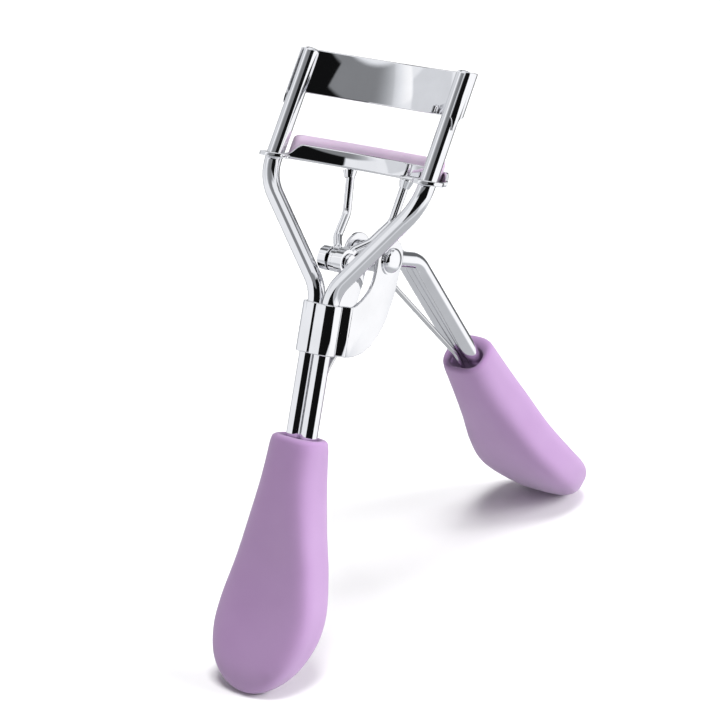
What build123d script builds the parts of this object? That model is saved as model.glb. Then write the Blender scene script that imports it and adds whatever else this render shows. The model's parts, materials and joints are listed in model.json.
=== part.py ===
from build123d import *
import math
import os

# Eyelash curler, standing open on the tips of its two grips.  Millimetres.
# X runs across the jaws, +Y points back to the lever, +Z is up, the surface is z = 0,
# and x = 0 is the curler's plane of symmetry.
# Handle places are given as across, along and behind the handle, from the front grip's mouth.
# Jaw places are given along the rails, from the shoulder where the rods turn into rails.

# ---- driving dimensions ----
rod_d = 3.0                 # frame and lever rods
rod_gap = 0.02              # between the two rods of a handle
rail_spacing = 32.6         # between the rail centres
handle_lean = 19.8          # handle from vertical, top leaning back
rail_lean = 36.3            # rails from vertical, top leaning back
mouth_height = 40.45        # front grip's mouth above the surface
spread_up = 25.4            # mouth to the point where the rods spread
shoulder_up = 42.5          # mouth to the shoulder
rail_length = 24.0          # shoulder to the rail's top
spread_radius = 7.0
shoulder_radius = 9.0
rod_in_grip = 30.0

pivot_up = 31.8             # lever pivot along the handle
pivot_back = 12.1           # lever pivot behind the handle
link_arm = 10.2             # pivot to link pin
link_angle = 166.6          # link arm at rest, from +Y towards +Z
lever_travel = 43.0         # lever rotation from open to closed
lever_lean = 34.2           # lever rods from vertical, foot swinging back
lever_neck = 11.4           # pivot to the lever's bend
lever_bend_radius = 6.0
lever_drop = 28.6           # bend to the rear grip's mouth

jaw_sag = 9.5               # depth of the jaw's curve behind the rails
jaw_plate_t = 0.6
upper_edge_up = 15.9        # pressing edge of the upper jaw, along the rails
sleeve_drop = 2.3           # the crimped sleeves reach this far below the edge
sleeve_end_angle = -55.0    # round the rail, from outwards, where the crimp ends
lower_face_up = 3.7         # underside of the lower jaw at rest, along the rails
floor_t = 0.8
channel_wall_t = 0.55
front_wall_h = 2.2          # above the channel floor
rear_wall_h = 1.8
front_wall_angle = 41.0     # half angle of the channel walls
rear_wall_angle = 43.0
ear_r = 2.7                 # guide ear round a rail
rail_clearance = 0.12
pad_width = 2.7
pad_height = 3.8            # above the channel floor
pad_angle = 44.0
pad_round = 1.1
pad_fit = 0.02
closed_gap = 0.12           # left between pad and upper jaw

sheet_t = 0.7               # hinge bracket
ear_inner_x = 3.2           # inner faces of the bracket's ears
ferrule_bottom = 14.5       # along the handle
ferrule_top = 23.2
ferrule_fit = 0.04          # radial clearance of the rods in the ferrule
# outline of a bracket ear, as places along and behind the handle
ear_boss_r = 3.7            # round the pivot
ear_front = -0.4
ear_bottom_corner = 6.0
ear_bottom_curve = [(16.4, 11.0), (21.3, 13.7)]
ear_back_corner = (27.8, 13.7)
ear_top_curve = [(29.2, 9.0), (25.2, 7.2)]
ear_top_corner = 3.8

pivot_pin_d = 2.2
head_d = 4.4
head_h = 1.0
washer_d = 5.2
washer_t = 0.3
lever_boss_r = 2.6
tongue_t = 0.73             # flattened end of a lever rod
tongue_r = 2.0
link_pin_d = 1.6
link_head_r = 1.6
link_head_t = 0.6
link_head_gap = 0.1         # between a push arm's eye and the head beside it
running_fit = 0.04          # radial clearance of a turning pin
tight_fit = 0.01            # radial clearance of a fixed pin or rod
overcut = 1.0               # a cutting tool runs this far past what it cuts

arm_d = 1.5
arm_below_floor = 0.15      # top of a push arm, under the channel floor's surface
wrist = 3.0                 # a push arm runs straight to its eye over this length
arm_x = 6.1                 # where a push arm meets the lower jaw
arm_knee_at = (4.9, 38.4, 9.2)      # across, along and behind the handle
arm_elbow_at = (3.5, 34.4, 5.7)
arm_bend_radii = [2.5, 2.0, 1.0]
arm_stub = 3.2              # length of a push arm's top end that the jaw is cut for
eye_x = 0.9                 # inner face of a push arm's eye
eye_t = 1.6
eye_r = 2.1
eye_margin = 0.06           # eye hole beyond the pin's own play
collar_r = 1.25
collar_neck = 0.15          # collar's thickness at its lower end
collar_h = 1.3
collar_drop = 0.25          # collar's middle below the jaw, so that its rim is clear

spring_d = 1.0
spring_inside = 2.5         # the wire enters the rear grip this far in front of its rods
spring_in_grip = 3.0
spring_above_grip = 2.5     # the last bend's corner above the grip's mouth
# corners of the wire's route, as places along and behind the handle, and its bends
spring_corners = [(16.0, 2.2), (19.5, 4.0), (28.8, 16.0), (20.0, 33.3)]
spring_bend_radii = [4.0, 4.0, 30.0, 6.0]

front_grip_length = 44.7
rear_grip_length = 49.5
grip_squareness = 2.7       # 2 is an ellipse, higher is nearer a rounded box
grip_section_points = 24
grip_fit = 0.02
pocket_half_x = 3.5         # hollow round the rods in a grip's mouth
pocket_half_y = 3.1
pocket_depth = 4.0
# stations down a grip: part of its length, half width, half thickness, outward offset
grip_stations = [
    (0.00, 4.1, 3.8, 0.3),
    (0.02, 4.7, 4.4, 0.3),
    (0.17, 5.3, 4.8, 0.0),
    (0.34, 6.6, 4.8, -0.2),
    (0.51, 8.2, 4.7, -0.5),
    (0.66, 9.6, 4.6, 0.0),
    (0.78, 9.4, 4.4, 1.3),
    (0.86, 8.2, 4.1, 2.4),
    (0.92, 6.6, 3.5, 3.2),
    (0.96, 4.9, 2.5, 3.7),
    (0.985, 3.1, 1.5, 4.0),
    (1.00, 1.0, 0.5, 4.1),
]

# ---- worked-out values ----
rod_r = rod_d / 2
rod_x = rod_r + rod_gap / 2
rail_x = rail_spacing / 2
across = Vector(1, 0, 0)


def lean_dir(degrees_from_up):
    """Unit vector in the symmetry plane, leaning back from straight up."""
    angle = math.radians(degrees_from_up)
    return Vector(0, math.sin(angle), math.cos(angle))


up = lean_dir(handle_lean)
back = lean_dir(handle_lean + 90)
rail_dir = lean_dir(rail_lean)
lever_down = lean_dir(180 - lever_lean)
lever_back = lean_dir(90 - lever_lean)
mouth = Vector(0, 0, mouth_height)
shoulder = mouth + up * shoulder_up
pivot = mouth + up * pivot_up + back * pivot_back
lever_bend = pivot + back * lever_neck
lever_mouth = lever_bend + lever_down * lever_drop
rail_stretch = 1 / math.cos(math.radians(rail_lean - handle_lean))

ring_r = rod_r + jaw_plate_t / 2
jaw_r = (rail_x ** 2 + jaw_sag ** 2 - ring_r ** 2) / (2 * (jaw_sag - ring_r))
jaw_centre = jaw_sag - jaw_r
wrap_start_angle = math.degrees(math.atan2(-jaw_centre, rail_x))
floor_top_up = lower_face_up + floor_t
stroke = upper_edge_up - floor_top_up - pad_height - closed_gap


def link_at(turn):
    """Link pin centre when the lever has closed by this many degrees."""
    return pivot + lean_dir(90 - link_angle + turn) * link_arm


def eye_centre_and_play():
    """Push-arm eye at rest, and how far the pin strays from its middle while closing."""
    steps = 20
    along = []
    beside = []
    side_dir = lean_dir(rail_lean + 90)
    for i in range(steps + 1):
        stray = link_at(lever_travel * i / steps) - link_at(0) - rail_dir * (stroke * i / steps)
        along.append(stray.dot(rail_dir))
        beside.append(stray.dot(side_dir))
    mid_along = (min(along) + max(along)) / 2
    mid_beside = (min(beside) + max(beside)) / 2
    centre = link_at(0) + rail_dir * mid_along + side_dir * mid_beside
    play = math.hypot(max(along) - mid_along, max(beside) - mid_beside)
    return centre, play


eye_centre, eye_play = eye_centre_and_play()
eye_hole_r = link_pin_d / 2 + eye_play + eye_margin


def at(x, along, behind):
    """A point across, along and behind the handle, from the front grip's mouth."""
    return mouth + across * x + up * along + back * behind


def jaw_plane(along_rails):
    """Plane square to the handle, its origin between the rails at this place along them."""
    return Plane(origin=shoulder + rail_dir * along_rails, x_dir=across, z_dir=up)


def jaw_point(x, behind, along_rails):
    return shoulder + rail_dir * along_rails + across * x + back * behind


def bar(path, radius):
    """Round bar swept along a path."""
    return sweep(Plane(path @ 0, z_dir=path % 0) * Circle(radius), path=path)


def disc_x(centre, radius, x0, x1):
    """Round bar along X between two X places."""
    start = Vector(x0, centre.Y, centre.Z)
    return extrude(Plane(start, x_dir=(0, 1, 0), z_dir=across) * Circle(radius), amount=x1 - x0)


def other_side(shape):
    return mirror(shape, about=Plane.YZ)


# ---- frame rods and jaws ----
def frame_rod_path():
    """Straight in the grip and bracket, spread out, then a rail."""
    return FilletPolyline(
        at(rod_x, -rod_in_grip, 0),
        at(rod_x, spread_up, 0),
        at(rail_x, shoulder_up, 0),
        jaw_point(rail_x, 0, rail_length),
        radius=[spread_radius, shoulder_radius],
    )


def right_frame_rod():
    rod = bar(frame_rod_path(), rod_r)
    top = rod.faces().sort_by(Axis.Z)[-1]
    return fillet(top.edges(), rod_r / 2)


def band(along_rails, r_in, r_out, half_angle):
    """Flat face of a curved band on the jaw's arc, in a jaw plane."""
    a = math.radians(half_angle)
    inner = (r_in * math.sin(a), jaw_centre + r_in * math.cos(a))
    outer = (r_out * math.sin(a), jaw_centre + r_out * math.cos(a))
    inner_left = (-inner[0], inner[1])
    outer_left = (-outer[0], outer[1])
    outline = [
        ThreePointArc(inner_left, (0, jaw_centre + r_in), inner),
        Line(inner, outer),
        ThreePointArc(outer, (0, jaw_centre + r_out), outer_left),
        Line(outer_left, inner_left),
    ]
    return jaw_plane(along_rails) * make_face(outline)


def rail_bore(radius, start, end):
    """Round bar along the right rail, to cut a bore."""
    centre = jaw_point(rail_x, 0, start)
    return extrude(Plane(centre, x_dir=across, z_dir=rail_dir) * Circle(radius), amount=end - start)


def rail_sleeve():
    """Crimped round the outside of the right rail, open towards the other rail."""
    inner = rod_r + tight_fit
    outer = rod_r + jaw_plate_t
    start = wrap_start_angle
    middle = (start + sleeve_end_angle) / 2

    def spot(radius, degrees):
        angle = math.radians(degrees)
        return (rail_x + radius * math.cos(angle), radius * rail_stretch * math.sin(angle))

    section = make_face([
        ThreePointArc(spot(inner, start), spot(inner, middle), spot(inner, sleeve_end_angle)),
        Line(spot(inner, sleeve_end_angle), spot(outer, sleeve_end_angle)),
        ThreePointArc(spot(outer, sleeve_end_angle), spot(outer, middle), spot(outer, start)),
        Line(spot(outer, start), spot(inner, start)),
    ])
    height = rail_length - upper_edge_up + sleeve_drop
    return extrude(jaw_plane(upper_edge_up - sleeve_drop) * section, amount=height, dir=rail_dir)


def upper_jaw():
    """Curved plate between the rails, its ends crimped round them."""
    half_t = jaw_plate_t / 2
    plan = band(upper_edge_up, jaw_r - half_t, jaw_r + half_t, 90 - wrap_start_angle)
    plate = extrude(plan, amount=rail_length - upper_edge_up, dir=rail_dir)
    sleeve = rail_sleeve()
    bore = rail_bore(rod_r + tight_fit, 0, 2 * rail_length)
    return plate + sleeve + other_side(sleeve) - bore - other_side(bore)


def lower_jaw():
    """Channel on the same curve, with a guide ear round each rail."""
    inner = jaw_r - pad_width / 2 - pad_fit
    outer = jaw_r + pad_width / 2 + pad_fit
    ear = jaw_plane(lower_face_up) * Pos(rail_x, 0) * Circle(ear_r)
    plan = band(lower_face_up, inner - channel_wall_t, outer + channel_wall_t, rear_wall_angle + 2)
    floor = extrude(plan, amount=floor_t, dir=rail_dir)
    ear_plate = extrude(ear, amount=floor_t, dir=rail_dir)
    front_plan = band(lower_face_up, inner - channel_wall_t, inner, front_wall_angle)
    rear_plan = band(lower_face_up, outer, outer + channel_wall_t, rear_wall_angle)
    front_wall = extrude(front_plan, amount=floor_t + front_wall_h, dir=rail_dir)
    rear_wall = extrude(rear_plan, amount=floor_t + rear_wall_h, dir=rail_dir)
    bore = rail_bore(rod_r + rail_clearance, 0, rail_length)
    jaw = floor + ear_plate + other_side(ear_plate) + front_wall + rear_wall
    jaw = jaw - bore - other_side(bore)
    stub = push_arm_stub(arm_d / 2 + tight_fit)
    return jaw - stub - other_side(stub)


def curling_pad():
    """Soft strip in the channel, with a rounded top."""
    plan = band(floor_top_up, jaw_r - pad_width / 2, jaw_r + pad_width / 2, pad_angle)
    pad = extrude(plan, amount=pad_height, dir=rail_dir)
    top = pad.faces().sort_by(Axis(shoulder, up))[-1]
    long_edges = top.edges().sort_by(SortBy.LENGTH)[-2:]
    return fillet(long_edges, pad_round)


# ---- push arms ----
arm_behind = jaw_centre + math.sqrt(jaw_r ** 2 - arm_x ** 2)
arm_top = jaw_point(arm_x, arm_behind, floor_top_up - arm_below_floor)
arm_knee = at(*arm_knee_at)
arm_elbow = at(*arm_elbow_at)
arm_dir = (arm_top - arm_knee).normalized()


def push_arm_stub(radius):
    """Round bar along the arm's top end, through the channel floor."""
    start = arm_top - arm_dir * (arm_stub - floor_t)
    return extrude(Plane(start, z_dir=arm_dir) * Circle(radius), amount=arm_stub)


def right_push_arm():
    """Wire from the lower jaw down to an eye on the link pin."""
    eye_mid = eye_centre + across * (eye_x + eye_t / 2)
    toward = Vector(0, arm_elbow.Y - eye_mid.Y, arm_elbow.Z - eye_mid.Z).normalized()
    path = FilletPolyline(
        arm_top,
        arm_knee,
        arm_elbow,
        eye_mid + toward * wrist,
        eye_mid + toward * (eye_hole_r + arm_d / 4),
        radius=arm_bend_radii,
    )
    eye = disc_x(eye_centre, eye_r, eye_x, eye_x + eye_t)
    hole = disc_x(eye_centre, eye_hole_r, 0, 2 * (eye_x + eye_t))
    return bar(path, arm_d / 2) + eye - hole


def right_arm_collar():
    """Flared collar where a push arm meets the lower jaw."""
    top = jaw_point(arm_x, arm_behind, lower_face_up) - arm_dir * collar_drop
    base = top - arm_dir * collar_h
    collar = loft([
        Plane(base, z_dir=arm_dir) * Circle(arm_d / 2 + collar_neck),
        Plane(top, z_dir=arm_dir) * Circle(collar_r),
    ])
    bore = Plane(base - arm_dir * overcut, z_dir=arm_dir) * Circle(arm_d / 2 + tight_fit)
    return collar - extrude(bore, amount=collar_h + 2 * overcut)


# ---- hinge bracket and pivot ----
def hinge_bracket():
    """Sheet folded round the two rods, with an ear on each side for the lever."""
    outer = rod_r + sheet_t
    plane = Plane(origin=at(0, ferrule_bottom, 0), x_dir=across, z_dir=up)
    lobes = Pos(rod_x, 0) * Circle(outer) + Pos(-rod_x, 0) * Circle(outer)
    lobes -= Pos(0, outer) * Rectangle(4 * outer, 2 * outer)
    ferrule = extrude(plane * lobes, amount=ferrule_top - ferrule_bottom)
    plate = ear_plate()
    rod_holes = Pos(rod_x, 0) * Circle(rod_r + ferrule_fit) + Pos(-rod_x, 0) * Circle(rod_r + ferrule_fit)
    holes = extrude(Plane(origin=at(0, 0, 0), x_dir=across, z_dir=up) * rod_holes, amount=spread_up)
    return ferrule + plate + other_side(plate) - holes


def ear_plate():
    """Right ear: from the ferrule's side back to the pivot boss."""
    boss = (pivot_up, pivot_back)
    front_top = (ferrule_top, ear_front)
    front_bottom = (ferrule_bottom, ear_front)
    back_bottom = (ferrule_bottom, ear_bottom_corner)
    back_top = (ferrule_top, ear_top_corner)
    outline = [
        Line(front_top, front_bottom),
        Line(front_bottom, back_bottom),
        ThreePointArc(back_bottom, *ear_bottom_curve),
        Line(ear_bottom_curve[-1], ear_back_corner),
        Line(ear_back_corner, boss),
        Line(boss, ear_top_curve[0]),
        ThreePointArc(*ear_top_curve, back_top),
        Line(back_top, front_top),
    ]
    plane = Plane(origin=at(ear_inner_x, 0, 0), x_dir=up, z_dir=across * -1)
    side = make_face(outline) + Pos(*boss) * Circle(ear_boss_r)
    side -= Pos(*boss) * Circle(pivot_pin_d / 2 + tight_fit)
    return extrude(plane * side, amount=-sheet_t)


def rivet_head(centre, radius, height, x0):
    """Rounded rivet head on the right, its flat face at x0."""
    head = disc_x(centre, radius, x0, x0 + height)
    return fillet(head.edges().sort_by(Axis.X)[-1], height * 0.9)


def pivot_pin():
    """Rivet through both ears, with a domed head outside each washer."""
    seat = ear_inner_x + sheet_t + washer_t
    shank = disc_x(pivot, pivot_pin_d / 2, -seat, seat)
    head = rivet_head(pivot, head_d / 2, head_h, seat)
    return shank + head + other_side(head)


def right_pivot_washer():
    x0 = ear_inner_x + sheet_t
    ring = disc_x(pivot, washer_d / 2, x0, x0 + washer_t)
    return ring - disc_x(pivot, pivot_pin_d / 2 + tight_fit, 0, 2 * x0)


# ---- lever ----
def right_lever_rod():
    """From a flattened tongue on the link pin, past the pivot, down into the rear grip."""
    path = FilletPolyline(
        pivot + across * rod_x,
        lever_bend + across * rod_x,
        lever_mouth + lever_down * rod_in_grip + across * rod_x,
        radius=lever_bend_radius,
    )
    inner_x = rod_gap / 2
    link = link_at(0)
    boss = disc_x(pivot, lever_boss_r, inner_x, inner_x + rod_d)
    middle = (pivot + link) * 0.5 + across * inner_x
    arm_plane = Plane(origin=middle, x_dir=link - pivot, z_dir=across)
    tongue = extrude(arm_plane * Rectangle(link_arm, 2 * tongue_r), amount=tongue_t)
    tongue += disc_x(link, tongue_r, inner_x, inner_x + tongue_t)
    rod = bar(path, rod_r) + boss + tongue
    rod -= disc_x(pivot, pivot_pin_d / 2 + running_fit, -rod_d, 2 * rod_d)
    return rod - disc_x(link, link_pin_d / 2 + tight_fit, -rod_d, 2 * rod_d)


def link_pin():
    """Rivet through the tongues and the push arms' eyes."""
    link = link_at(0)
    seat = eye_x + eye_t + link_head_gap
    head = rivet_head(link, link_head_r, link_head_t, seat)
    return disc_x(link, link_pin_d / 2, -seat, seat) + head + other_side(head)


# ---- return spring ----
def return_spring():
    """Springy wire from behind the frame rods, under the pivot, into the rear grip."""
    entry = lever_mouth - lever_back * spring_inside
    path = FilletPolyline(
        *[at(0, along, behind) for along, behind in spring_corners],
        entry - lever_down * spring_above_grip,
        entry + lever_down * spring_in_grip,
        radius=spring_bend_radii,
    )
    return bar(path, spring_d / 2)


# ---- grips ----
def grip_section(half_x, half_y):
    """Closed curve between an ellipse and a rounded box."""
    power = 2 / grip_squareness
    points = []
    for i in range(grip_section_points):
        angle = 2 * math.pi * (i + 0.5) / grip_section_points
        x = half_x * math.copysign(abs(math.cos(angle)) ** power, math.cos(angle))
        y = half_y * math.copysign(abs(math.sin(angle)) ** power, math.sin(angle))
        points.append((x, y))
    return make_face(Spline(*points, periodic=True))


def grip(top, down, outward, length):
    """Soft grip that swells, flattens and sweeps outward, down to the tip it stands on."""
    sections = []
    for part, half_x, half_y, offset in grip_stations:
        centre = top + down * (part * length) + outward * offset
        sections.append(Plane(origin=centre, x_dir=across, z_dir=down) * grip_section(half_x, half_y))
    body = loft(sections)
    pocket = Plane(origin=top, x_dir=across, z_dir=down) * Ellipse(pocket_half_x, pocket_half_y)
    body -= extrude(pocket, amount=pocket_depth)
    for x in (-rod_x, rod_x):
        hole = Plane(origin=top + across * x, x_dir=across, z_dir=down) * Circle(rod_r + grip_fit)
        body -= extrude(hole, amount=rod_in_grip + grip_fit)
    below = Pos(0, 0, -length) * Box(4 * length, 4 * length, 2 * length)
    return body - below


right_parts = {
    "right_frame_rod": right_frame_rod(),
    "right_pivot_washer": right_pivot_washer(),
    "right_lever_rod": right_lever_rod(),
    "right_push_arm": right_push_arm(),
    "right_arm_collar": right_arm_collar(),
}
parts = {
    "upper_jaw": upper_jaw(),
    "hinge_bracket": hinge_bracket(),
    "frame_grip": grip(mouth, up * -1, back * -1, front_grip_length),
    "pivot_pin": pivot_pin(),
    "return_spring": return_spring(),
    "lever_grip": grip(lever_mouth, lever_down, lever_back, rear_grip_length),
    "link_pin": link_pin(),
    "lower_jaw": lower_jaw(),
    "curling_pad": curling_pad(),
}
for name, shape in right_parts.items():
    parts[name] = shape
    parts[name.replace("right", "left")] = other_side(shape)

# The origin is under the middle of the whole curler.
box = Compound([solid for shape in parts.values() for solid in shape.solids()]).bounding_box()
shift = Vector(0, -box.center().Y, 0)
os.makedirs("parts", exist_ok=True)
for name, shape in parts.items():
    export_step(Pos(shift) * shape, f"parts/{name}.step")

print("size", box.size, "shift", shift.Y)
print("pivot", pivot + shift, "link", link_at(0) + shift)
print("rail direction", rail_dir, "stroke", stroke, "per degree", stroke / lever_travel)
print("eye play", eye_play, "eye hole radius", eye_hole_r)
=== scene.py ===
import json
import math

import bmesh
import bpy
from mathutils import Matrix, Vector


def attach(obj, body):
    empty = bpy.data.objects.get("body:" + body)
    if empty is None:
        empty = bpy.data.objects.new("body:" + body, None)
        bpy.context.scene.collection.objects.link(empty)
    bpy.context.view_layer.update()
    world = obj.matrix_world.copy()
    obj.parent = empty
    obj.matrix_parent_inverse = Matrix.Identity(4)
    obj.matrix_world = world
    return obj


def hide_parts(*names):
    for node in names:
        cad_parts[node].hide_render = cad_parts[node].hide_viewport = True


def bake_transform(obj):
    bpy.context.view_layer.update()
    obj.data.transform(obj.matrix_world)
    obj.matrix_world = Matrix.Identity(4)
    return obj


# Looks of an eyelash curler that stands open on the tips of its two grips.
# Sizes are in millimetres, and MM turns them into metres.
# X runs across the jaws, +Y points back to the lever, +Z is up.

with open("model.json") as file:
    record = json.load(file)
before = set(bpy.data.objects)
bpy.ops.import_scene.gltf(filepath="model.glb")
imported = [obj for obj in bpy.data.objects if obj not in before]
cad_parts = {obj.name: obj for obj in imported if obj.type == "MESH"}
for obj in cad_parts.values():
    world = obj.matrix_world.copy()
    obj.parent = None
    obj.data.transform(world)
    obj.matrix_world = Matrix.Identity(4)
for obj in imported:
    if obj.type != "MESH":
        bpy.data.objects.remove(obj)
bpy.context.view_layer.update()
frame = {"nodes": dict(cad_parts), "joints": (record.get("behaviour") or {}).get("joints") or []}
MM = 0.001

# ---- sizes of the frame ----
handle_lean = 19.8          # front handle, in degrees back from upright
rail_lean = 36.3            # rails, likewise
lever_lean = 34.2           # rear handle, in degrees back from straight down
pivot_up = 31.8             # pivot above the front grip's mouth, along the handle
pivot_back = 12.1           # pivot behind the handle
lever_neck = 11.4           # lever's bend behind the pivot
lever_drop = 28.6           # bend to the rear grip's mouth
rod_x = 1.51                # middle of a rod beside the middle plane
rod_r = 1.5
front_grip_length = 44.7
rear_grip_length = 49.5

# ---- rails and upper jaw ----
shoulder_up = 42.5          # where the rails start, above the front grip's mouth
rail_length = 24.0
rail_x = 16.3
jaw_r = 22.903              # middle line of the jaws' curve
jaw_sag = 9.5
jaw_plate_t = 0.6
upper_edge_up = 15.9        # upper jaw's lower edge along the rails
curl_start_angle = 39.43    # where the plate meets the rail, and where its curl ends
curl_end_angle = -55.0
curl_half_t = 0.17          # the curl is thinner than the plate
curl_gap = 0.015
curl_steps = 24
curl_thinning_steps = 8
curl_tab_drop = 2.3         # tab below the curl, at a share of the way round
curl_tab_place = 0.62
curl_tab_spread = 0.2
jaw_plate_rim = 0.22

# ---- lower jaw and pad ----
lower_face_up = 3.7
floor_t = 0.8
channel_wall_t = 0.55
channel_bend_r = 0.62
channel_rim = 0.24
channel_end_angle = 45.0
channel_fade_angle = 5.5    # the walls fade out over this angle
front_wall_h = 2.2
front_wall_lean = 0.13      # outward lean as a share of its height
rear_wall_h = 1.8
ear_ring_r = 2.7            # guide ring round a rail
ear_ring_rim = 0.15
rail_hole_r = 1.62
pad_width = 2.7
pad_height = 3.8
pad_angle = 44.0
pad_right_angle = 39.5
pad_end_angle = 3.4         # the ends round off over this angle
pad_gap = 0.02

# ---- hinge bracket and rivet ----
sheet_t = 0.7
ferrule_bottom = 14.5
ferrule_top = 23.2
ferrule_rim = 0.2
ferrule_lobe_end = 50       # where the lobe round a rod ends, in degrees
ear_inner_x = 3.2
ear_outer_x = 3.9
ear_rim = 0.16
ear_boss_r = 3.7
washer_t = 0.3
rivet_shank_r = 1.1
rivet_head_r = 2.2
rivet_head_h = 1.0
rivet_edge_r = 0.12

# ---- return spring ----
spring_r = 0.46
spring_step = 0.5           # largest spacing of its rings
spring_entry_front = 2.05   # it enters the rear grip this far in front of the rods
spring_entry_run = 3.0      # straight this far above and below the grip's mouth


def lean_dir(degrees_from_up):
    """Unit vector in the symmetry plane, leaning back from straight up."""
    angle = math.radians(degrees_from_up)
    return Vector((0, math.sin(angle), math.cos(angle)))


joint = {j["name"]: j for j in frame["joints"]}
across = Vector((1, 0, 0))
up = lean_dir(handle_lean)
back = lean_dir(handle_lean + 90)
rail_dir = lean_dir(rail_lean)
lever_down = lean_dir(180 - lever_lean)
lever_back = lean_dir(90 - lever_lean)
pivot = Vector(joint["lever_pivot"]["pos_m"]) / MM
mouth = pivot - up * pivot_up - back * pivot_back
shoulder = mouth + up * shoulder_up
lever_mouth = pivot + back * lever_neck + lever_down * lever_drop
jaw_centre = jaw_sag - jaw_r
rail_stretch = 1 / math.cos(math.radians(rail_lean - handle_lean))


def at(x, along, behind):
    """A point across, along and behind the handle, from the front grip's mouth."""
    return mouth + across * x + up * along + back * behind


def jaw_point(x, behind, along):
    """A point across and behind the rails, at a place along them from the shoulder."""
    return shoulder + across * x + back * behind + rail_dir * along


def on_arc(radius, degrees, along):
    """A point on the jaws' curve, at an angle from its middle."""
    angle = math.radians(degrees)
    return jaw_point(radius * math.sin(angle), jaw_centre + radius * math.cos(angle), along)


# ---- node helpers ----
def new_material(name):
    material = bpy.data.materials.new(name)
    material.use_nodes = True
    return material, material.node_tree.nodes, material.node_tree.links


def noise(nodes, links, scale, detail=4.0, roughness=0.55):
    """Noise in the object's own space, at a scale in cycles per metre."""
    space = nodes.new("ShaderNodeTexCoord")
    texture = nodes.new("ShaderNodeTexNoise")
    texture.inputs["Scale"].default_value = scale
    texture.inputs["Detail"].default_value = detail
    texture.inputs["Roughness"].default_value = roughness
    links.new(space.outputs["Object"], texture.inputs["Vector"])
    return texture


def ramp(nodes, links, source, stops):
    """Colour ramp over a node's factor, with (position, colour) stops."""
    node = nodes.new("ShaderNodeValToRGB")
    elements = node.color_ramp.elements
    while len(elements) < len(stops):
        elements.new(0.5)
    for element, (position, colour) in zip(elements, stops):
        element.position = position
        element.color = (*colour, 1)
    links.new(source, node.inputs["Fac"])
    return node


def to_range(nodes, links, source, low, high):
    """Spread a factor from 0 to 1 over a range."""
    node = nodes.new("ShaderNodeMapRange")
    node.inputs["To Min"].default_value = low
    node.inputs["To Max"].default_value = high
    links.new(source, node.inputs["Value"])
    return node


def bump(nodes, links, height, depth, strength):
    """Bumps of a depth in metres."""
    node = nodes.new("ShaderNodeBump")
    node.inputs["Strength"].default_value = strength
    node.inputs["Distance"].default_value = depth
    links.new(height, node.inputs["Height"])
    return node


# ---- materials ----
def chrome(name, colour, rough_low, rough_high):
    """Bright plated steel with faint polishing marks."""
    material, nodes, links = new_material(name)
    shader = nodes["Principled BSDF"]
    shader.inputs["Metallic"].default_value = 1.0
    cloudy = noise(nodes, links, 180.0)
    dark = tuple(c * 0.94 for c in colour)
    tint = ramp(nodes, links, cloudy.outputs["Fac"], [(0.3, dark), (0.7, colour)])
    links.new(tint.outputs["Color"], shader.inputs["Base Color"])
    marks = noise(nodes, links, 2500.0, 6.0, 0.7)
    rough = to_range(nodes, links, marks.outputs["Fac"], rough_low, rough_high)
    links.new(rough.outputs["Result"], shader.inputs["Roughness"])
    wave = bump(nodes, links, cloudy.outputs["Fac"], 0.00002, 0.25)
    links.new(wave.outputs["Normal"], shader.inputs["Normal"])
    return material


def soft_touch(name, dark, light):
    """Matte moulded plastic with a fine grain and a soft sheen."""
    material, nodes, links = new_material(name)
    shader = nodes["Principled BSDF"]
    cloudy = noise(nodes, links, 60.0, 3.0)
    tint = ramp(nodes, links, cloudy.outputs["Fac"], [(0.35, dark), (0.65, light)])
    links.new(tint.outputs["Color"], shader.inputs["Base Color"])
    grain = noise(nodes, links, 5200.0, 3.0)
    rough = to_range(nodes, links, grain.outputs["Fac"], 0.46, 0.6)
    links.new(rough.outputs["Result"], shader.inputs["Roughness"])
    shader.inputs["Specular IOR Level"].default_value = 0.5
    shader.inputs["Sheen Weight"].default_value = 0.2
    shader.inputs["Sheen Roughness"].default_value = 0.5
    fine = bump(nodes, links, grain.outputs["Fac"], 0.00002, 0.35)
    links.new(fine.outputs["Normal"], shader.inputs["Normal"])
    return material


def silicone(name, dark, light):
    """Slightly translucent rubber of the curling pad."""
    material, nodes, links = new_material(name)
    shader = nodes["Principled BSDF"]
    cloudy = noise(nodes, links, 150.0, 3.0)
    tint = ramp(nodes, links, cloudy.outputs["Fac"], [(0.35, dark), (0.65, light)])
    links.new(tint.outputs["Color"], shader.inputs["Base Color"])
    grain = noise(nodes, links, 4000.0, 3.0)
    rough = to_range(nodes, links, grain.outputs["Fac"], 0.38, 0.5)
    links.new(rough.outputs["Result"], shader.inputs["Roughness"])
    shader.inputs["Subsurface Weight"].default_value = 0.3
    shader.inputs["Subsurface Radius"].default_value = (0.6, 0.35, 0.5)
    shader.inputs["Subsurface Scale"].default_value = 0.002
    fine = bump(nodes, links, grain.outputs["Fac"], 0.00001, 0.3)
    links.new(fine.outputs["Normal"], shader.inputs["Normal"])
    return material


plating = chrome("bright_chrome", (0.88, 0.88, 0.90), 0.02, 0.06)
wire_steel = chrome("spring_steel", (0.74, 0.74, 0.75), 0.08, 0.16)
grip_plastic = soft_touch("lilac_soft_touch", (0.325, 0.195, 0.377), (0.35, 0.218, 0.402))
pad_rubber = silicone("pale_lilac_silicone", (0.50, 0.395, 0.525), (0.56, 0.445, 0.575))


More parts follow.
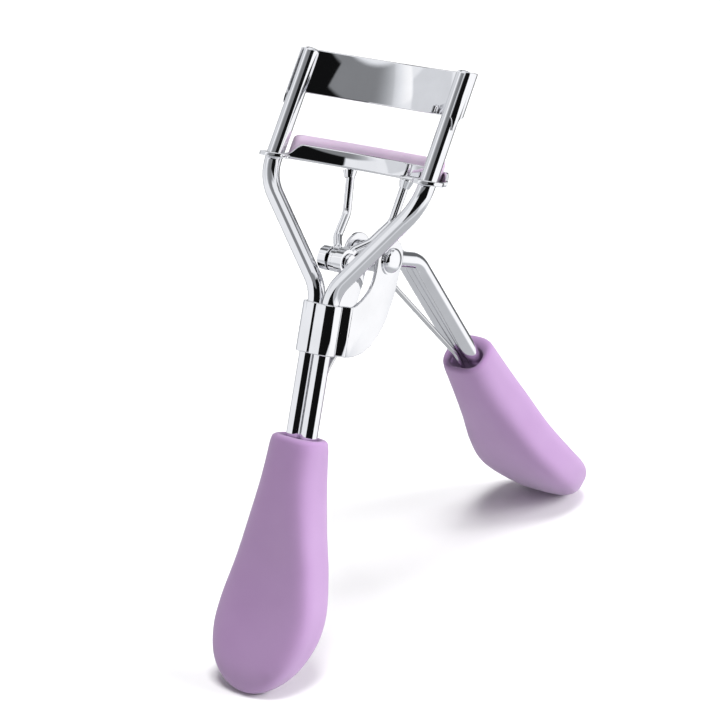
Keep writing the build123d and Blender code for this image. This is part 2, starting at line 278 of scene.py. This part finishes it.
# ---- mesh helpers ----
def mesh_object(name, bm, material, body):
    """Smooth-shaded piece from a bmesh; it rides on its body, if one is given."""
    bmesh.ops.recalc_face_normals(bm, faces=bm.faces)
    mesh = bpy.data.meshes.new(name)
    bm.to_mesh(mesh)
    bm.free()
    for polygon in mesh.polygons:
        polygon.use_smooth = True
    mesh.materials.append(material)
    piece = bpy.data.objects.new(name, mesh)
    bpy.context.scene.collection.objects.link(piece)
    if body:
        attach(piece, body)
    return piece


def grid(bm, rings, closed_ends=True):
    """Skin over rings of points that all have the same count, its ends closed with fans."""
    rows = [[bm.verts.new(p * MM) for p in ring] for ring in rings]
    count = len(rows[0])
    for low, high in zip(rows, rows[1:]):
        for i in range(count):
            j = (i + 1) % count
            bm.faces.new((low[i], low[j], high[j], high[i]))
    if closed_ends:
        for row in (rows[0], rows[-1]):
            middle = bm.verts.new(sum((v.co for v in row), Vector()) / count)
            for i in range(count):
                bm.faces.new((row[i], row[(i + 1) % count], middle))


def smooth_curve(stations, t):
    """Value of a smooth curve through (place, value) stations, at a place."""
    n = len(stations)
    k = 0
    while k < n - 2 and t > stations[k + 1][0]:
        k += 1
    (t0, v0), (t1, v1) = stations[k], stations[k + 1]

    def slope(i):
        if i == 0 or i == n - 1:
            a, b = (0, 1) if i == 0 else (n - 2, n - 1)
        else:
            a, b = i - 1, i + 1
        return (stations[b][1] - stations[a][1]) / (stations[b][0] - stations[a][0])

    h = t1 - t0
    s = min(max((t - t0) / h, 0), 1)
    m0, m1 = slope(k) * h, slope(k + 1) * h
    return (
        v0 * (2 * s ** 3 - 3 * s ** 2 + 1)
        + m0 * (s ** 3 - 2 * s ** 2 + s)
        + v1 * (3 * s ** 2 - 2 * s ** 3)
        + m1 * (s ** 3 - s ** 2)
    )


# ---- grips: (share of the length, value) stations ----
grip_half_width = [(0, 4.7), (0.17, 5.3), (0.34, 6.6), (0.51, 8.3), (0.68, 9.8), (0.85, 9.7), (1, 9.6)]
grip_half_thickness = [(0, 4.4), (0.17, 4.8), (0.34, 4.8), (0.51, 4.7), (0.68, 4.6), (0.85, 4.3), (1, 3.6)]
grip_square = [(0, 2.6), (0.17, 3.0), (0.34, 3.5), (0.6, 3.9), (0.85, 3.3), (1, 2.5)]
grip_offset = [(0, 0.3), (0.17, 0.0), (0.34, -0.2), (0.51, -0.5), (0.68, 0.2), (0.85, 2.2), (1, 4.1)]
width_round = 12.0          # the tip rounds off over these lengths
thickness_round = 6.0
tip_crowding = 1.6          # the rings stand closer together towards the tip
grip_around = 160
grip_steps = 90
smallest_half = 0.05
lip_round = 0.9
lip_steps = 8
pocket_half_x = 3.35
pocket_half_y = 2.05
pocket_square = 2.6
pocket_depth = 1.5


def superellipse(half_x, half_y, squareness, count):
    """Outline between an ellipse (squareness 2) and a rounded box."""
    power = 2 / squareness
    points = []
    for i in range(count):
        angle = 2 * math.pi * i / count
        x = half_x * math.copysign(abs(math.cos(angle)) ** power, math.cos(angle))
        y = half_y * math.copysign(abs(math.sin(angle)) ** power, math.sin(angle))
        points.append((x, y))
    return points


def grip(name, node, body, top, down, outward, length, slot_in=0.0):
    """Moulded grip: pocket in its mouth, rounded lip, swelling blade and swept tip."""
    def ring(distance, half_x, half_y, offset, squareness):
        centre = top + down * distance + outward * offset
        outline = superellipse(half_x, half_y, squareness, grip_around)
        return [centre + across * x + outward * y for x, y in outline]

    rings = []
    for depth in (pocket_depth, (pocket_depth + lip_round) / 2, lip_round):
        rings.append(ring(depth, pocket_half_x, pocket_half_y + slot_in, -slot_in, pocket_square))
    outer_x = smooth_curve(grip_half_width, 0)
    outer_y = smooth_curve(grip_half_thickness, 0)
    for i in range(1, lip_steps + 1):
        angle = math.pi * i / lip_steps
        swing = (1 - math.cos(angle)) / 2
        half_x = pocket_half_x + (outer_x - pocket_half_x) * swing
        half_y = pocket_half_y + slot_in + (outer_y - pocket_half_y - slot_in) * swing
        offset = grip_offset[0][1] * swing - slot_in * (1 - swing)
        rings.append(ring(lip_round * (1 - math.sin(angle)), half_x, half_y, offset, pocket_square))
    for i in range(1, grip_steps + 1):
        reached = 1 - (1 - i / grip_steps) ** tip_crowding
        distance = lip_round + (length - lip_round) * reached
        part = distance / length
        half_x = smooth_curve(grip_half_width, part)
        half_y = smooth_curve(grip_half_thickness, part)
        into_x = max(0, (distance - length + width_round) / width_round)
        into_y = max(0, (distance - length + thickness_round) / thickness_round)
        half_x *= math.sqrt(max(0, 1 - into_x ** 2))
        half_y *= math.sqrt(max(0, 1 - into_y ** 2))
        if half_x < smallest_half:
            continue
        squareness = smooth_curve(grip_square, part)
        rings.append(ring(distance, half_x, half_y, smooth_curve(grip_offset, part), squareness))
    bm = bmesh.new()
    grid(bm, rings)
    for vertex in bm.verts:
        vertex.co.z = max(vertex.co.z, 0)
    piece = mesh_object(name, bm, grip_plastic, body)
    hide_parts(node)


spring_slot = 0.35          # the rear pocket reaches this much further in front, for the spring
grip("front_grip_shell", "frame_grip", "frame", mouth, -up, -back, front_grip_length)
grip("rear_grip_shell", "lever_grip", "lever", lever_mouth, lever_down, lever_back,
     rear_grip_length, spring_slot)


# ---- sheet metal ----
edge_taper = [(0.0, 0.25), (0.25, 0.72), (0.6, 0.94), (1.0, 1.0)]     # (place, thickness) at a free end
rim_steps = [(1.0, 0.0), (0.5, 0.13), (0.13, 0.5), (0.0, 1.0)]        # (inset, depth) shares of a rim


def rounded(corners, radii, steps=4):
    """Closed outline in two dimensions with its corners rounded off."""
    points = []
    count = len(corners)
    for i in range(count):
        corner = Vector(corners[i])
        before = (Vector(corners[i - 1]) - corner).normalized()
        after = (Vector(corners[(i + 1) % count]) - corner).normalized()
        half = before.angle(after) / 2
        reach = radii[i] / math.tan(half)
        middle = corner + (before + after).normalized() * (radii[i] / math.sin(half))
        first = corner + before * reach - middle
        last = corner + after * reach - middle
        for k in range(steps + 1):
            points.append(middle + first.slerp(last, k / steps).normalized() * radii[i])
    return points


def strip_rings(columns, rim):
    """Rings round a bent strip. A column is its middle, its outward side, its low and high ends,
    the direction between them and half its thickness; the free ends are rounded like the rims."""
    rings = []
    last = len(columns) - 1
    for i, (middle, side, low, high, along, half_t) in enumerate(columns):
        shares = [1.0]
        if i == 0:
            shares = [share for _, share in edge_taper]
        if i == last:
            shares = [share for _, share in reversed(edge_taper)]
        onward = (columns[min(i + 1, last)][0] - columns[max(i - 1, 0)][0]).normalized()
        for share in shares:
            push = half_t * (1 - share) * (-1 if i == 0 else 1)
            thick = half_t * share
            bottom, top = low + half_t - thick, high - half_t + thick
            corners = [(-thick, bottom), (thick, bottom), (thick, top), (-thick, top)]
            outline = rounded(corners, [min(rim, thick * 0.95)] * 4)
            rings.append([middle + onward * push + side * s + along * t for s, t in outline])
    return rings


def bend_columns(path, low, high, along, origin, half_t):
    """Columns of a strip that follows a path of (x, behind) places; its ends and thickness may vary."""
    columns = []
    for i, (x, behind) in enumerate(path):
        ahead = Vector(path[min(i + 1, len(path) - 1)]) - Vector(path[max(i - 1, 0)])
        ahead.normalize()
        side = across * ahead.y - back * ahead.x
        low_end, high_end, half = [v(i) if callable(v) else v for v in (low, high, half_t)]
        columns.append((origin + across * x + back * behind, side, low_end, high_end, along, half))
    return columns


def arc_path(centre_x, centre_y, radius, start, end, steps):
    """Places along an arc, from one angle in degrees to another."""
    points = []
    for i in range(steps + 1):
        angle = math.radians(start + (end - start) * i / steps)
        points.append((centre_x + radius * math.cos(angle), centre_y + radius * math.sin(angle)))
    return points


def plate(bm, outline, x_in, x_out, rim):
    """Flat plate square to X, with rounded rims, from a closed outline of (along, behind) places."""
    count = len(outline)
    inward = []
    for i in range(count):
        edge = Vector(outline[(i + 1) % count]) - Vector(outline[i - 1])
        inward.append(Vector((-edge.y, edge.x)).normalized())
    area = sum(outline[i - 1][0] * outline[i][1] - outline[i][0] * outline[i - 1][1] for i in range(count))
    turn = 1 if area > 0 else -1
    sign = 1 if x_out > x_in else -1
    rows = []
    for x, way in ((x_in, sign), (x_out, -sign)):
        steps = rim_steps if way == sign else list(reversed(rim_steps))
        for inset, depth in steps:
            ring = []
            for spot, normal in zip(outline, inward):
                moved = Vector(spot) + normal * (rim * inset * turn)
                ring.append(bm.verts.new(at(x + way * rim * depth, moved.x, moved.y) * MM))
            rows.append(ring)
    for low, high in zip(rows, rows[1:]):
        for i in range(count):
            j = (i + 1) % count
            bm.faces.new((low[i], low[j], high[j], high[i]))
    bm.faces.new(rows[0])
    bm.faces.new(list(reversed(rows[-1])))


def hinge_bracket():
    """Sheet wrapped round the front of both rods, pinched in behind them and flared to the ears."""
    mid_r = rod_r + sheet_t / 2
    # right half of the sheet's middle line: the crease between the rods, the lobe and the flare
    half = [(0.0, -1.30), (0.10, -1.62), (0.32, -1.80), (0.6, -mid_r), (1.0, -mid_r)]
    half += arc_path(rod_x, 0, mid_r, -90, ferrule_lobe_end, 26)
    half += [(2.32, 1.62), (2.28, 1.98), (2.5, 2.3), (2.9, 2.72), (3.25, 3.12), (3.46, 3.42), (3.55, 3.75)]
    path = [(-x, y) for x, y in reversed(half[1:])] + half
    bm = bmesh.new()
    columns = bend_columns(path, ferrule_bottom, ferrule_top, up, mouth, sheet_t / 2)
    grid(bm, strip_rings(columns, ferrule_rim))
    # outline of an ear as places along and behind the handle
    low_edge = [(ferrule_bottom, 3.4), (ferrule_bottom, 4.4), (14.7, 6.0), (15.3, 8.2), (16.6, 10.4)]
    low_edge += [(18.6, 12.2), (21.2, 13.6), (24.0, 14.5), (26.6, 15.1), (28.9, 15.3)]
    boss = arc_path(pivot_up, pivot_back, ear_boss_r, 115, -101, 27)
    high_edge = [(29.5, 8.47), (28.2, 8.35), (27.1, 8.0), (26.1, 7.45), (25.2, 6.7), (24.4, 5.75)]
    high_edge += [(23.8, 4.8), (23.35, 4.1), (ferrule_top, 3.4)]
    outline = low_edge + boss + high_edge
    for side in (1, -1):
        plate(bm, outline, side * ear_inner_x, side * ear_outer_x, ear_rim)
    piece = mesh_object("folded_bracket", bm, plating, "frame")
    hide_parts("hinge_bracket")


def upper_jaw():
    """Curved plate with its ends curled round the rails."""
    steps = 48
    centre = arc_path(0, jaw_centre, jaw_r, 180 - curl_start_angle, curl_start_angle, steps)
    plate_half = jaw_plate_t / 2

    def half_thickness(beyond):
        return plate_half - (plate_half - curl_half_t) * min(beyond / curl_thinning_steps, 1)

    curl = []
    for i in range(1, curl_steps + 1):
        angle = math.radians(curl_start_angle + (curl_end_angle - curl_start_angle) * i / curl_steps)
        ring_r = rod_r + curl_gap + half_thickness(i)
        curl.append((rail_x + ring_r * math.cos(angle), ring_r * rail_stretch * math.sin(angle)))
    path = [(-x, y) for x, y in reversed(curl)] + centre + curl

    def beyond_plate(i):
        return max(curl_steps - i, i - curl_steps - steps, 0)

    def low_edge(i):
        tab = math.exp(-((beyond_plate(i) / curl_steps - curl_tab_place) / curl_tab_spread) ** 2)
        return upper_edge_up - curl_tab_drop * tab

    def half_at(i):
        return half_thickness(beyond_plate(i))

    bm = bmesh.new()
    columns = bend_columns(path, low_edge, rail_length, rail_dir, shoulder, half_at)
    grid(bm, strip_rings(columns, jaw_plate_rim))
    piece = mesh_object("upper_jaw_plate", bm, plating, "frame")
    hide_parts("upper_jaw")


def channel_section(front_h, rear_h):
    """U section of the lower jaw as (radius, height) places, its bends rounded."""
    inner = jaw_r - pad_width / 2 - pad_gap
    outer = jaw_r + pad_width / 2 + pad_gap
    wall = channel_wall_t
    lean = front_wall_lean * front_h
    front_top = floor_t + front_h
    rear_top = floor_t + rear_h
    corners = [
        (inner - wall + 0.2, 0), (outer + wall, 0), (outer + wall, rear_top), (outer, rear_top),
        (outer, floor_t), (inner + 0.1, floor_t), (inner - lean, front_top), (inner - wall - lean, front_top),
    ]
    rim_front = min(channel_rim, 0.4 * front_h)
    rim_rear = min(channel_rim, 0.4 * rear_h)
    crease = 0.05
    return rounded(corners, [channel_bend_r] * 2 + [rim_rear] * 2 + [crease] * 2 + [rim_front] * 2)


def guide_ring(bm, side):
    """Flat ring that slides on a rail; its hole is stretched, as the rail leans through it."""
    around = 72
    hole_deep = rail_hole_r * rail_stretch
    low, high = lower_face_up, lower_face_up + floor_t
    section = rounded([(0, low), (1, low), (1, high), (0, high)], [ear_ring_rim] * 4)
    loops = []
    for i in range(around):
        angle = 2 * math.pi * i / around
        loop = []
        for share, height in section:
            width = rail_hole_r + (ear_ring_r - rail_hole_r) * share
            deep = hole_deep + (ear_ring_r - hole_deep) * share
            loop.append(jaw_point(side * (rail_x + width * math.cos(angle)), deep * math.sin(angle), height))
        loops.append(loop)
    loops.append(loops[0])
    grid(bm, loops, False)


def lower_jaw():
    """Bent channel that holds the pad, with a guide ring round each rail."""
    steps = 90
    end = channel_end_angle
    lowest_share = 0.03
    rings = []
    for i in range(steps + 1):
        angle = -end + 2 * end * i / steps
        share = min(max((end - abs(angle)) / channel_fade_angle, 0), 1)
        rise = lowest_share + (1 - lowest_share) * share * share * (3 - 2 * share)
        section = channel_section(front_wall_h * rise, rear_wall_h * rise)
        rings.append([on_arc(radius, angle, lower_face_up + height) for radius, height in section])
    bm = bmesh.new()
    grid(bm, rings)
    for side in (1, -1):
        guide_ring(bm, side)
    bmesh.ops.remove_doubles(bm, verts=bm.verts, dist=1e-8)
    piece = mesh_object("lower_jaw_channel", bm, plating, "jaw")
    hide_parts("lower_jaw")


def curling_pad():
    """Silicone strip with a domed top and soft ends."""
    steps = 80
    foot_r = 0.25
    dome_share = 0.88
    floor_up = lower_face_up + floor_t + pad_gap
    rings = []
    for i in range(steps + 1):
        s = i / steps
        angle = -pad_angle + (pad_angle + pad_right_angle) * (1 - math.cos(math.pi * s)) / 2
        near_end = min((pad_angle + angle) / pad_end_angle, (pad_right_angle - angle) / pad_end_angle, 1)
        soft = math.sqrt(max(0, 1 - (1 - near_end) ** 2))
        half = pad_width / 2 * (0.3 + 0.7 * soft)
        height = pad_height * (0.8 + 0.2 * soft)
        corners = [(-half, 0), (half, 0), (half, height), (-half, height)]
        outline = rounded(corners, [foot_r] * 2 + [half * dome_share] * 2, 7)
        rings.append([on_arc(jaw_r + r, angle, floor_up + h) for r, h in outline])
    bm = bmesh.new()
    grid(bm, rings)
    piece = mesh_object("silicone_pad", bm, pad_rubber, "jaw")
    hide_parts("curling_pad")


# ---- return spring ----
def rounded_route(corners, radii):
    """Points along straight runs joined by arcs."""
    step = 0.4
    points = [corners[0].copy()]
    for i, radius in enumerate(radii, 1):
        corner = corners[i]
        before = (corners[i - 1] - corner).normalized()
        after = (corners[i + 1] - corner).normalized()
        half = before.angle(after) / 2
        reach = radius / math.tan(half)
        middle = corner + (before + after).normalized() * (radius / math.sin(half))
        first = corner + before * reach - middle
        last = corner + after * reach - middle
        steps = max(4, int(radius * first.angle(last) / step))
        for k in range(steps + 1):
            points.append(middle + first.slerp(last, k / steps).normalized() * radius)
    points.append(corners[-1].copy())
    return points


def return_spring():
    """Springy wire from below the bracket, under the pivot, into the rear grip."""
    entry = lever_mouth - lever_back * spring_entry_front
    corners = [at(0, 10.2, 3.3), at(0, 16.5, 7.1), at(0, 28.8, 16.0), at(0, 20.0, 33.3)]
    corners += [entry - lever_down * spring_entry_run, entry + lever_down * spring_entry_run]
    route = rounded_route(corners, [8.0, 4.0, 30.0, 6.0])
    dense = []
    for a, b in zip(route, route[1:]):
        pieces = max(1, int((b - a).length / spring_step))
        dense += [a.lerp(b, k / pieces) for k in range(pieces)]
    dense.append(route[-1])
    around = 24
    rings = []
    for i, point in enumerate(dense):
        ahead = (dense[min(i + 1, len(dense) - 1)] - dense[max(i - 1, 0)]).normalized()
        beside = across.cross(ahead).normalized()
        end_gap = min(i, len(dense) - 1 - i)
        radius = spring_r * (0.75 if end_gap == 0 else 1)
        ring = []
        for k in range(around):
            angle = 2 * math.pi * k / around
            ring.append(point + (across * math.cos(angle) + beside * math.sin(angle)) * radius)
        rings.append(ring)
    bm = bmesh.new()
    grid(bm, rings)
    piece = mesh_object("spring_wire", bm, wire_steel, None)
    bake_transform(piece)
    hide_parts("return_spring")


def rivet_half(bm, centre, side, profile, around=64):
    """One end of a rivet: rings from the middle of the shank out to its domed head."""
    rings = []
    for x, radius in profile:
        ring = []
        for k in range(around):
            angle = 2 * math.pi * k / around
            spoke = up * math.cos(angle) + back * math.sin(angle)
            ring.append(centre + across * (side * x) + spoke * radius)
        rings.append(ring)
    grid(bm, rings)


def pivot_rivet():
    """Pin through both ears with a domed head over each washer."""
    seat = ear_outer_x + washer_t
    edge = rivet_edge_r
    profile = [(0.0, rivet_shank_r), (seat, rivet_shank_r), (seat, rivet_head_r - edge)]
    profile.append((seat + edge / 4, rivet_head_r - edge / 4))
    dome_fullness = 0.8
    for degrees in range(0, 90, 6):
        angle = math.radians(degrees)
        x = seat + edge + (rivet_head_h - edge) * math.sin(angle)
        profile.append((x, rivet_head_r * math.cos(angle) ** dome_fullness))
    bm = bmesh.new()
    for side in (1, -1):
        rivet_half(bm, pivot, side, profile)
    piece = mesh_object("pivot_rivet", bm, plating, "frame")
    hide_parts("pivot_pin")


hinge_bracket()
upper_jaw()
pivot_rivet()
lower_jaw()
curling_pad()
return_spring()

# ---- CAD nodes that show ----
for node in frame["nodes"].values():
    if not node.hide_render:
        node.data.materials.clear()
        node.data.materials.append(plating)


# ---- floor, light and camera, in metres ----
floor_width = 1.6
floor_gap = 0.0001
floor_colour = (0.885, 0.885, 0.89)
focus = Vector((0, -0.013, 0.0495))


def add_floor():
    """Plain pale floor, which the plated parts don't reflect."""
    half = floor_width / 2
    mesh = bpy.data.meshes.new("floor")
    corners = [(-half, -half, 0), (half, -half, 0), (half, half, 0), (-half, half, 0)]
    mesh.from_pydata(corners, [], [(0, 1, 2, 3)])
    material, nodes, _ = new_material("floor")
    shader = nodes["Principled BSDF"]
    shader.inputs["Base Color"].default_value = (*floor_colour, 1)
    shader.inputs["Roughness"].default_value = 0.9
    shader.inputs["Specular IOR Level"].default_value = 0.0
    mesh.materials.append(material)
    floor = bpy.data.objects.new("floor", mesh)
    floor.location = (0, 0, -floor_gap)
    floor.visible_glossy = False
    bpy.context.scene.collection.objects.link(floor)


def compass(azimuth, elevation, distance):
    """A place seen from the object: azimuth 0 is straight in front (-Y), 90 is to the right (+X)."""
    a = math.radians(azimuth)
    e = math.radians(elevation)
    return Vector((math.sin(a) * math.cos(e), -math.cos(a) * math.cos(e), math.sin(e))) * distance


def area_light(name, azimuth, elevation, distance, size, power):
    """Soft light aimed at the object, which the plated parts don't reflect."""
    data = bpy.data.lights.new(name, "AREA")
    data.shape = "RECTANGLE"
    data.size, data.size_y = size
    data.energy = power
    light = bpy.data.objects.new(name, data)
    place = focus + compass(azimuth, elevation, distance)
    light.location = place
    light.rotation_euler = (focus - place).to_track_quat("-Z", "Y").to_euler()
    bpy.context.scene.collection.objects.link(light)
    light.visible_glossy = False


# What the plated parts reflect besides plain white: panels of the studio. Each has its left, right, low
# and high edge in degrees, the softness of its sides and of its low and high edges, and its brightness.
# A later panel covers the ones before it.
studio_panels = [
    (-180, 180, -90, -36, 10.0, 8.0, 0.56),
    (-175, -92, -40, 12, 6.0, 6.0, 0.55),
    (-40, 62, -30, -8, 7.0, 7.0, 0.50),
    (88, 158, -33, 22, 4.0, 4.0, 1.12),
    (-95, -52, 12, 44, 1.5, 1.5, 0.76),
    (-52, -30, 34, 60, 2.0, 2.0, 1.15),
    (-30, 72, 33, 58, 26.0, 2.0, 0.25),
    (44, 100, 22, 50, 1.5, 1.5, 0.006),
    (-2, 86, -9, 35, 1.5, 1.5, 0.006),
    (164, 204, -30, 30, 4.0, 4.0, 0.15),
    (-168, -128, 14, 46, 3.0, 3.0, 0.12),
    (128, 150, 30, 70, 3.0, 3.0, 0.2),
    (-128, -88, 46, 66, 3.0, 3.0, 0.15),
]
surround_shade = 0.95
shade_scale = 0.8           # brings the shades into the tint's range, and the strength undoes it
reflected_strength = 1.25
cool_greys = [
    (0.0, (0.0, 0.0, 0.0)),
    (0.35, (0.335, 0.345, 0.36)),
    (0.7, (0.685, 0.70, 0.725)),
    (0.96, (0.96, 0.96, 0.96)),
]
ambient = 0.33

def studio_world():
    """Soft white surroundings; only reflections see the studio's dark and grey panels."""
    world = bpy.data.worlds.new("studio")
    bpy.context.scene.world = world
    world.use_nodes = True
    nodes, links = world.node_tree.nodes, world.node_tree.links

    def math_node(operation, *values):
        node = nodes.new("ShaderNodeMath")
        node.operation = operation
        for socket, value in zip(node.inputs, values):
            if isinstance(value, (int, float)):
                socket.default_value = value
            else:
                links.new(value, socket)
        return node.outputs[0]

    def fade(distance, half, soft):
        node = nodes.new("ShaderNodeMapRange")
        node.interpolation_type = "SMOOTHSTEP"
        node.inputs["From Min"].default_value = half - soft
        node.inputs["From Max"].default_value = half + soft
        node.inputs["To Min"].default_value = 1.0
        node.inputs["To Max"].default_value = 0.0
        links.new(distance, node.inputs["Value"])
        return node.outputs["Result"]

    space = nodes.new("ShaderNodeTexCoord")
    axes = nodes.new("ShaderNodeSeparateXYZ")
    links.new(space.outputs["Generated"], axes.inputs["Vector"])
    front = math_node("MULTIPLY", axes.outputs["Y"], -1.0)
    azimuth = math_node("MULTIPLY", math_node("ARCTAN2", axes.outputs["X"], front), 180 / math.pi)
    elevation = math_node("MULTIPLY", math_node("ARCSINE", axes.outputs["Z"]), 180 / math.pi)
    shade = surround_shade
    for left, right, low, high, soft_side, soft_end, brightness in studio_panels:
        away = math_node("SUBTRACT", azimuth, (left + right) / 2)
        wrapped = math_node("WRAP", away, 180.0, -180.0)
        beside = fade(math_node("ABSOLUTE", wrapped), (right - left) / 2, soft_side)
        if right - left >= 360:
            beside = 1.0
        height = math_node("ABSOLUTE", math_node("SUBTRACT", elevation, (low + high) / 2))
        inside = math_node("MULTIPLY", beside, fade(height, (high - low) / 2, soft_end))
        # shade + (brightness - shade) * inside
        step = math_node("MULTIPLY", math_node("SUBTRACT", brightness, shade), inside)
        shade = math_node("ADD", shade, step)
    tint = ramp(nodes, links, math_node("MULTIPLY", shade, shade_scale), cool_greys)
    reflected = nodes.new("ShaderNodeBackground")
    links.new(tint.outputs["Color"], reflected.inputs["Color"])
    reflected.inputs["Strength"].default_value = reflected_strength
    soft_light = nodes["Background"]
    soft_light.inputs["Color"].default_value = (1, 1, 1, 1)
    soft_light.inputs["Strength"].default_value = ambient
    rays = nodes.new("ShaderNodeLightPath")
    mix = nodes.new("ShaderNodeMixShader")
    links.new(rays.outputs["Is Glossy Ray"], mix.inputs["Fac"])
    links.new(soft_light.outputs["Background"], mix.inputs[1])
    links.new(reflected.outputs["Background"], mix.inputs[2])
    backdrop = nodes.new("ShaderNodeBackground")
    backdrop.inputs["Color"].default_value = (1, 1, 1, 1)
    seen = nodes.new("ShaderNodeMixShader")
    links.new(rays.outputs["Is Camera Ray"], seen.inputs["Fac"])
    links.new(mix.outputs["Shader"], seen.inputs[1])
    links.new(backdrop.outputs["Background"], seen.inputs[2])
    links.new(seen.outputs["Shader"], nodes["World Output"].inputs["Surface"])


camera_azimuth = 38.2
camera_elevation = 21.75
camera_roll = 2.74
camera_distance = 0.4294
camera_lens = 122.98
look_at = Vector((0, -0.01304, 0.04952))


def add_camera():
    data = bpy.data.cameras.new("camera")
    data.sensor_width = 36.0
    data.lens = camera_lens
    data.clip_start = 0.01
    data.clip_end = 20.0
    camera = bpy.data.objects.new("camera", data)
    bpy.context.scene.collection.objects.link(camera)
    a, e, roll = (math.radians(v) for v in (camera_azimuth, camera_elevation, camera_roll))
    right = Vector((math.cos(a), math.sin(a), 0))
    ahead = Vector((-math.sin(a) * math.cos(e), math.cos(a) * math.cos(e), -math.sin(e)))
    above = right.cross(ahead)
    turned_right = right * math.cos(roll) - above * math.sin(roll)
    turned_up = right * math.sin(roll) + above * math.cos(roll)
    rotation = Matrix((turned_right, turned_up, -ahead)).transposed()
    camera.matrix_world = Matrix.Translation(look_at - ahead * camera_distance) @ rotation.to_4x4()
    bpy.context.scene.camera = camera


add_floor()
area_light("key", 120, 22, 2.0, (1.2, 1.1), 50.0)
area_light("top", 60, 84, 2.0, (0.8, 0.8), 34.0)
studio_world()
add_camera()
bpy.context.scene.view_settings.view_transform = "Standard"
